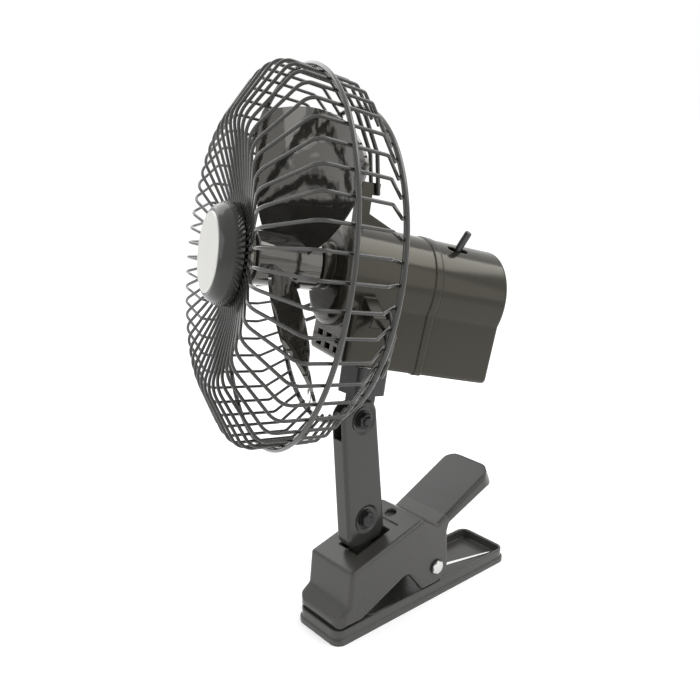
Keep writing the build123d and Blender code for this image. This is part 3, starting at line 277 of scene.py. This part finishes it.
looks = {
    "casing": {"colour": (0.017, 0.016, 0.013), "worn": (0.034, 0.033, 0.028), "dust": (0.16, 0.15, 0.13),
               "skin": skinOf(1400, 30, 0.10, 0.22, 0.10, 1.0),
               "scuff": scuffOf(30, 6, 0.18), "bump": 0.10, "soft": 0.0012,
               "glossTint": (1.0, 0.94, 0.79)},
    "cap": {"colour": (0.024, 0.0235, 0.021), "worn": (0.04, 0.04, 0.036), "dust": (0.14, 0.14, 0.13),
            "skin": skinOf(1500, 50, 0.10, 0.2, 0.10, 0.8),
            "scuff": scuffOf(40, 5, 0.15), "bump": 0.1},
    "jaw": {"colour": (0.040, 0.039, 0.035), "worn": (0.07, 0.069, 0.063), "dust": (0.2, 0.19, 0.17),
            "skin": skinOf(1100, 36, 0.18, 0.34, 0.3, 0.8),
            "scuff": scuffOf(34, 7, 0.22), "bump": 0.16, "soft": 0.0016},
    "knuckle": {"colour": (0.013, 0.013, 0.014), "worn": (0.035, 0.035, 0.036), "dust": (0.15, 0.15, 0.14),
                "skin": skinOf(1100, 40, 0.24, 0.4, 0.35, 0.6),
                "scuff": scuffOf(40, 5, 0.2), "bump": 0.16},
    "neck": {"colour": (0.026, 0.0255, 0.023), "worn": (0.065, 0.064, 0.06), "dust": (0.16, 0.15, 0.14),
             "skin": skinOf(700, 120, 0.16, 0.28, 0.5, 0.5),
             "scuff": scuffOf(50, 4, 0.25), "bump": 0.14, "soft": 0.0008},
    "wire": {"colour": (0.022, 0.0215, 0.019), "worn": (0.10, 0.10, 0.095), "dust": (0.2, 0.2, 0.19),
             "skin": skinOf(1800, 200, 0.16, 0.3, 0.3, 0.5),
             "scuff": scuffOf(90, 1.5, 0.25), "bump": 0.2, "coat": 0.4},
    "blade": {"colour": (0.026, 0.025, 0.022), "worn": (0.035, 0.034, 0.03), "dust": (0.2, 0.19, 0.17),
              "skin": skinOf(1400, 60, 0.02, 0.07, 0.01, 1.4),
              "scuff": scuffOf(26, 6, 0.03), "bump": 0.3, "depth": 0.0008, "ior": 1.6, "coat": 1.0,
              "coatRough": 0.03, "glossTint": (1.0, 0.95, 0.84)},
    "hub_cap": {"colour": (0.88, 0.84, 0.74), "worn": (0.5, 0.47, 0.4), "dust": (0.4, 0.38, 0.33),
                "skin": skinOf(1200, 80, 0.3, 0.5, 0.3, 0.4),
                "scuff": scuffOf(60, 3, 0.3), "bump": 0.2},
    "zinc": {"colour": (0.62, 0.62, 0.60), "worn": (0.42, 0.42, 0.40), "dust": (0.3, 0.3, 0.29),
             "skin": skinOf(900, 260, 0.2, 0.42, 0.4, 0.4),
             "scuff": scuffOf(120, 3, 0.5), "bump": 0.18, "metallic": 1.0},
    "bolt": {"colour": (0.03, 0.03, 0.031), "worn": (0.16, 0.16, 0.16), "dust": (0.1, 0.1, 0.1),
             "skin": skinOf(1000, 240, 0.24, 0.42, 0.4, 0.4),
             "scuff": scuffOf(120, 2, 0.5), "bump": 0.18, "metallic": 0.6},
    "spring_steel": {"colour": (0.93, 0.93, 0.91), "worn": (0.70, 0.70, 0.68), "dust": (0.5, 0.5, 0.5),
                     "skin": skinOf(1500, 300, 0.12, 0.24, 0.3, 0.3),
                     "scuff": scuffOf(120, 4, 0.4), "bump": 0.15, "metallic": 1.0},
    "shaft": {"colour": (0.58, 0.58, 0.58), "worn": (0.4, 0.4, 0.4), "dust": (0.3, 0.3, 0.3),
              "skin": skinOf(1500, 200, 0.15, 0.3, 0.3, 0.3),
              "scuff": scuffOf(120, 6, 0.4), "bump": 0.15, "metallic": 1.0},
    "rubber": {"colour": (0.018, 0.018, 0.018), "worn": (0.05, 0.05, 0.05), "dust": (0.2, 0.19, 0.18),
               "skin": skinOf(1600, 90, 0.6, 0.8, 0.8, 0.3),
               "scuff": scuffOf(60, 3, 0.3), "bump": 0.35},
    "brass": {"colour": (0.62, 0.42, 0.16), "worn": (0.4, 0.27, 0.1), "dust": (0.2, 0.15, 0.08),
              "skin": skinOf(1300, 200, 0.26, 0.44, 0.5, 0.3),
              "scuff": scuffOf(100, 4, 0.4), "bump": 0.2, "metallic": 1.0},
    "nylon": {"colour": (0.72, 0.72, 0.69), "worn": (0.55, 0.55, 0.52), "dust": (0.4, 0.4, 0.38),
              "skin": skinOf(1000, 90, 0.36, 0.55, 0.4, 0.4),
              "scuff": scuffOf(60, 3, 0.3), "bump": 0.2},
    "motor_steel": {"colour": (0.46, 0.46, 0.46), "worn": (0.3, 0.3, 0.3), "dust": (0.2, 0.2, 0.2),
                    "skin": skinOf(900, 120, 0.28, 0.45, 0.4, 0.4),
                    "scuff": scuffOf(80, 5, 0.4), "bump": 0.18, "metallic": 1.0},
    "magnet": {"colour": (0.05, 0.05, 0.052), "worn": (0.1, 0.1, 0.1), "dust": (0.15, 0.15, 0.15),
               "skin": skinOf(900, 160, 0.5, 0.7, 0.6, 0.4),
               "scuff": scuffOf(80, 3, 0.4), "bump": 0.25},
    "lever": {"colour": (0.012, 0.012, 0.013), "worn": (0.04, 0.04, 0.04), "dust": (0.16, 0.16, 0.15),
              "skin": skinOf(1300, 80, 0.14, 0.26, 0.2, 0.6),
              "scuff": scuffOf(60, 3, 0.2), "bump": 0.12, "coat": 0.4},
}


def badgeMaterial():
    # satin silver disc: rings of fine turning about the motor axis
    look = {"colour": (0.70, 0.695, 0.66), "worn": (0.58, 0.575, 0.545), "ringScale": 2600.0, "height": 0.12,
            "ringDetail": 4.0, "depth": 0.0001, "metallic": 0.55,
            "skin": {"Grain": 1500, "Wave": 60, "Low": 0.26, "High": 0.4}}
    material, tree, shader = newMaterial("badgeSilver")
    coord = tree.nodes.new("ShaderNodeTexCoord").outputs["Object"]
    offset = tree.nodes.new("ShaderNodeVectorMath")
    offset.operation = "SUBTRACT"
    offset.inputs[1].default_value = tuple(headAt)
    tree.links.new(coord, offset.inputs[0])
    crossed = tree.nodes.new("ShaderNodeVectorMath")
    crossed.operation = "CROSS_PRODUCT"
    crossed.inputs[1].default_value = tuple(forward)
    tree.links.new(offset.outputs[0], crossed.inputs[0])
    radius = tree.nodes.new("ShaderNodeVectorMath")
    radius.operation = "LENGTH"
    tree.links.new(crossed.outputs[0], radius.inputs[0])
    rings = tree.nodes.new("ShaderNodeTexNoise")
    rings.noise_dimensions = "1D"
    rings.inputs["Scale"].default_value = look["ringScale"]
    rings.inputs["Detail"].default_value = look["ringDetail"]
    tree.links.new(radius.outputs["Value"], rings.inputs["W"])
    tree.links.new(tintMix(tree, rings.outputs["Fac"], look["colour"], look["worn"]), shader.inputs["Base Color"])
    skin = placeGroup(tree, mouldSkin, look["skin"])
    tree.links.new(skin.outputs["Rough"], shader.inputs["Roughness"])
    bump = tree.nodes.new("ShaderNodeBump")
    bump.inputs["Strength"].default_value = look["height"]
    bump.inputs["Distance"].default_value = look["depth"]
    tree.links.new(rings.outputs["Fac"], bump.inputs["Height"])
    tree.links.new(bump.outputs[0], shader.inputs["Normal"])
    shader.inputs["Metallic"].default_value = look["metallic"]
    return material


finishes = {slot: skinMaterial(slot + "Finish", look) for slot, look in looks.items()}
finishes["badge"] = badgeMaterial()
screwLow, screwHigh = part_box("jaw_screw")
gripMark = {"group": gripPanel, "values": {}, "mask": "Panel", "sunk": "Edge", "depth": 1.5,
            "tint": (0.55, 0.55, 0.56)}
# painted shade: the cross recess is multiplied darker as well as sunk into the bump
crossShadeMark = {"group": crossRecess, "mask": "Mask", "sunk": "Mask", "depth": 2.0, "tint": (0.15, 0.15, 0.15),
             "values": {"Centre X": (screwLow.x + screwHigh.x) / 2, "Centre Y": (screwLow.y + screwHigh.y) / 2}}
baseTone = {"colour": (0.052, 0.051, 0.047)}
ownFinish = {
    "upper_jaw": skinMaterial("handleFinish", looks["jaw"] | {"marked": gripMark}),
    "lower_jaw": skinMaterial("baseFinish", looks["jaw"] | baseTone),
    "jaw_screw": skinMaterial("screwFinish", looks["bolt"] | {"marked": crossShadeMark}),
}
slotOf = {entry["node"]: entry["material_slot"] for entry in frame["record"]["subparts"]}
for name, node in nodes.items():
    node.data.materials.clear()
    node.data.materials.append(ownFinish.get(name, finishes[slotOf[name]]))
    for polygon in node.data.polygons:
        polygon.material_index = 0
print("finishes on", len(nodes), "nodes")


# hardware worked out as profiles turned about an axis along X

bodyOf = {node: body for body, members in frame["record"]["behaviour"]["bodies"].items() for node in members}
turnSteps = 96
sharpFrom = np.radians(28)
turnAngles = np.arange(turnSteps) * 2 * np.pi / turnSteps


def hexReach(across):
    # distance from the axis to a hexagon's edge: half the width over cos of the angle from the flat's middle
    return across / 2 / np.cos((turnAngles + np.pi / 6) % (np.pi / 3) - np.pi / 6)


def turnedMesh(name, centre, places, reach, solid):
    # row i lies at x = places[i]; its points are reach[i, angle] from the axis; a solid one ends in two poles
    rows = len(places)
    across = np.stack([np.zeros(turnSteps), np.cos(turnAngles), np.sin(turnAngles)], -1)
    points = reach[..., None] * across + np.stack([places, 0 * places, 0 * places], -1)[:, None]
    points = points.reshape(-1, 3)
    first = np.arange(rows if not solid else rows - 1)[:, None] * turnSteps + np.arange(turnSteps)
    column = np.arange(turnSteps)
    after = first - column + (column + 1) % turnSteps
    size = rows * turnSteps
    quads = np.stack([first, after, (after + turnSteps) % size, (first + turnSteps) % size], -1).reshape(-1, 4)
    faces = quads.tolist()
    if solid:
        points = np.concatenate([points, [[places[0], 0, 0], [places[-1], 0, 0]]])
        turned = (column + 1) % turnSteps
        faces += np.stack([turned, column, 0 * column + size], -1).tolist()
        last = size - turnSteps
        faces += np.stack([column + last, turned + last, 0 * column + size + 1], -1).tolist()
    mesh = bpy.data.meshes.new(name)
    mesh.from_pydata((points + np.array(centre)).tolist(), [], faces)
    return mesh


def finishPiece(name, mesh, node, slot, replaced=True):
    mesh.polygons.foreach_set("use_smooth", np.ones(len(mesh.polygons), bool))
    shape = bmesh.new()
    shape.from_mesh(mesh)
    bmesh.ops.recalc_face_normals(shape, faces=shape.faces)
    shape.to_mesh(mesh)
    shape.free()
    mesh.set_sharp_from_angle(angle=sharpFrom)
    mesh.materials.append(finishes[slot])
    piece = bpy.data.objects.new(name, mesh)
    bpy.context.scene.collection.objects.link(piece)
    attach(piece, bodyOf[node])
    if replaced:
        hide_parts(node)


boltLook = {"across": 0.008, "head": 0.0026, "shank": 0.0025, "chamfer": 0.0007, "dish": 0.0006, "bore": 0.00255,
            "dishFoot": 0.42, "dishWall": 0.56, "dishRim": 0.64, "faceRim": 0.93, "dishLip": 0.2, "boreEdge": 0.5}


def makeBolt(node):
    # hexagon head with a dished, chamfered face, then the plain shank to a chamfered end
    lowest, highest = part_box(node)
    outward = 1 if highest.x < -lowest.x else -1  # the threaded end stands out further than the head
    face = highest.x if outward > 0 else -lowest.x
    end = lowest.x if outward > 0 else -highest.x
    flat, chamfer, shank = boltLook["across"] / 2, boltLook["chamfer"], boltLook["shank"]
    seat = face - boltLook["head"]
    foot, wall, rim, edge = (boltLook[key] * flat for key in ("dishFoot", "dishWall", "dishRim", "faceRim"))
    profile = np.array([
        (face - boltLook["dish"], foot), (face - boltLook["dishLip"] * boltLook["dish"], wall), (face, rim),
        (face, edge), (face - chamfer, 2 * flat), (seat, 2 * flat), (seat, shank), (end + chamfer, shank),
        (end, shank - chamfer)])
    reach = np.minimum(profile[:, 1:], hexReach(boltLook["across"]))
    middle = (0, (lowest.y + highest.y) / 2, (lowest.z + highest.z) / 2)
    mesh = turnedMesh(node + "Turned", middle, outward * profile[:, 0], reach, True)
    finishPiece(node + "Turned", mesh, node, "bolt")


def makeNut(node):
    # a closed ring: bore, chamfered outer face, hexagon flank, plain inner face
    lowest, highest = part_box(node)
    outward = 1 if highest.x > 0 else -1
    face, seat = (highest.x, lowest.x) if outward > 0 else (-lowest.x, -highest.x)
    flat, chamfer, bore = boltLook["across"] / 2, boltLook["chamfer"], boltLook["bore"]
    edge = boltLook["boreEdge"] * chamfer
    profile = np.array([
        (face - edge, bore), (face, bore + edge), (face, boltLook["faceRim"] * flat), (face - chamfer, 2 * flat),
        (seat, 2 * flat), (seat, bore)])
    reach = np.minimum(profile[:, 1:], hexReach(boltLook["across"]))
    middle = (0, (lowest.y + highest.y) / 2, (lowest.z + highest.z) / 2)
    mesh = turnedMesh(node + "Turned", middle, outward * profile[:, 0], reach, False)
    finishPiece(node + "Turned", mesh, node, "bolt")


pinLook = {"across": 0.0076, "rod": 0.0025, "chamfer": 0.0007, "collar": 0.0046, "collarShare": 0.45,
           "tipShare": 0.8, "rimShare": 0.95, "rimDrop": 0.3, "collarTop": 0.9, "collarRound": 0.25,
           "seatGap": 0.00005, "rodGap": 0.0001}


def makePin():
    # rod with a bright hexagon at each end, each standing on a dark collar
    lowest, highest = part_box("pivot_pin")
    middle = (0, (lowest.y + highest.y) / 2, (lowest.z + highest.z) / 2)
    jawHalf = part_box("upper_jaw")[1].x
    tip = highest.x
    step = jawHalf + pinLook["collarShare"] * (tip - jawHalf)
    flat, chamfer = pinLook["across"] / 2, pinLook["chamfer"]
    half = np.array([
        (tip, pinLook["tipShare"] * flat), (tip - pinLook["rimDrop"] * chamfer, pinLook["rimShare"] * flat),
        (tip - chamfer, 2 * flat), (step, 2 * flat), (step, pinLook["rod"])])
    profile = np.concatenate([half, half[::-1] * (-1, 1)])
    reach = np.minimum(profile[:, 1:], hexReach(pinLook["across"]))
    finishPiece("pinHeads", turnedMesh("pinHeads", middle, profile[:, 0], reach, True), "pivot_pin", "zinc")
    foot = jawHalf + pinLook["seatGap"]
    inner, outer = pinLook["rod"] + pinLook["rodGap"], pinLook["collar"]
    for outward in (1, -1):
        ring = np.array([
            (foot, inner), (step, inner), (step, pinLook["collarTop"] * outer),
            (step - pinLook["collarRound"] * (step - foot), outer), (foot, outer)])
        reach = np.repeat(ring[:, 1:], turnSteps, 1)
        name = "pinCollar" + ("Near" if outward > 0 else "Far")
        finishPiece(name, turnedMesh(name, middle, outward * ring[:, 0], reach, False), "pivot_pin", "bolt", False)


for node in ("lower_bolt", "upper_bolt"):
    makeBolt(node)
for node in ("lower_nut", "upper_nut"):
    makeNut(node)
makePin()
print("bolts, nuts and pin turned")

# the spring as a plain copy of its part, baked in place, with the part itself hidden
springMesh = nodes["spring"].data.copy()
springMesh.transform(nodes["spring"].matrix_world)
springWire = bpy.data.objects.new("springWire", springMesh)
bpy.context.scene.collection.objects.link(springWire)
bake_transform(springWire)
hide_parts("spring")


# stage: pale floor and soft light

stageLook = {"floorSize": 40.0, "floorColour": (0.9, 0.9, 0.9), "floorLift": 0.3,
              "floorRough": 0.9, "floorGloss": 0.1, "sky": 0.85}


def makeFloor():
    size = stageLook["floorSize"]
    mesh = bpy.data.meshes.new("floor")
    mesh.from_pydata([(-size, -size, 0), (size, -size, 0), (size, size, 0), (-size, size, 0)], [], [(0, 1, 2, 3)])
    floor = bpy.data.objects.new("floor", mesh)
    bpy.context.scene.collection.objects.link(floor)
    material, tree, shader = newMaterial("floorPaper")
    shader.inputs["Base Color"].default_value = (*stageLook["floorColour"], 1)
    shader.inputs["Roughness"].default_value = stageLook["floorRough"]
    shader.inputs["Specular IOR Level"].default_value = stageLook["floorGloss"]
    path = tree.nodes.new("ShaderNodeLightPath")
    seen = mathNode(tree, "MAXIMUM", path.outputs["Is Camera Ray"], path.outputs["Is Glossy Ray"])
    seen = mathNode(tree, "MAXIMUM", seen, path.outputs["Is Transmission Ray"])
    shader.inputs["Emission Color"].default_value = (1, 1, 1, 1)
    tree.links.new(mathNode(tree, "MULTIPLY", seen, stageLook["floorLift"]), shader.inputs["Emission Strength"])
    mesh.materials.append(material)


def makeSky():
    world = bpy.data.worlds.new("studio")
    bpy.context.scene.world = world
    world.use_nodes = True
    tree = world.node_tree
    background = tree.nodes["Background"]
    background.inputs["Color"].default_value = (1, 1, 1, 1)
    path = tree.nodes.new("ShaderNodeLightPath")
    seen = mathNode(tree, "MAXIMUM", path.outputs["Is Camera Ray"], path.outputs["Is Glossy Ray"])
    seen = mathNode(tree, "MAXIMUM", seen, path.outputs["Is Transmission Ray"])
    lift = mathNode(tree, "MULTIPLY", seen, 1 - stageLook["sky"])
    tree.links.new(mathNode(tree, "ADD", lift, stageLook["sky"]), background.inputs["Strength"])


def makeLamp(name, place, target, width, height, power):
    lamp = bpy.data.lights.new(name, "AREA")
    lamp.shape = "RECTANGLE"
    lamp.size = width
    lamp.size_y = height
    lamp.energy = power
    holder = bpy.data.objects.new(name, lamp)
    bpy.context.scene.collection.objects.link(holder)
    holder.location = place
    holder.rotation_euler = (Vector(target) - Vector(place)).to_track_quat("-Z", "Y").to_euler()


makeFloor()
makeSky()
lampTarget = (0.0, 0.0, 0.16)
lamps = {
    "topSoftbox": {"place": (0.3, 0.5, 1.0), "width": 0.7, "height": 0.6, "power": 4.2},
    "leftSoftbox": {"place": (-0.78, 0.05, 0.72), "width": 0.7, "height": 0.7, "power": 2.0},
    "sideSoftbox": {"place": (0.95, 0.25, 0.55), "width": 0.5, "height": 0.7, "power": 0.8},
    "noseSoftbox": {"place": (-0.35, -0.95, 0.55), "width": 0.6, "height": 0.6, "power": 1.2},
}
for name, lamp in lamps.items():
    makeLamp(name, lamp["place"], lampTarget, lamp["width"], lamp["height"], lamp["power"])
print("stage lit")

# camera at the photograph's place
cameraLook = {"place": (0.2995, -0.2645, 0.2717), "heading": (-0.7301, 0.6240, -0.2787),
              "right": (0.6497, 0.7602, 0.0), "frame": 700, "focalPixels": 800.0,
              "sensor": 36.0, "clip": 0.01}
camera = bpy.data.cameras.new("photoCamera")
camera.sensor_width = cameraLook["sensor"]
camera.lens = cameraLook["sensor"] * cameraLook["focalPixels"] / cameraLook["frame"]
camera.clip_start = cameraLook["clip"]
cameraHolder = bpy.data.objects.new("photoCamera", camera)
bpy.context.scene.collection.objects.link(cameraHolder)
heading = Vector(cameraLook["heading"]).normalized()
rightward = Vector(cameraLook["right"]).normalized()
upward = rightward.cross(heading)
cameraHolder.matrix_world = Matrix.Translation(cameraLook["place"]) @ Matrix(
    (rightward, upward, -heading)).transposed().to_4x4()
bpy.context.scene.camera = cameraHolder
bpy.context.scene.view_settings.view_transform = "Standard"
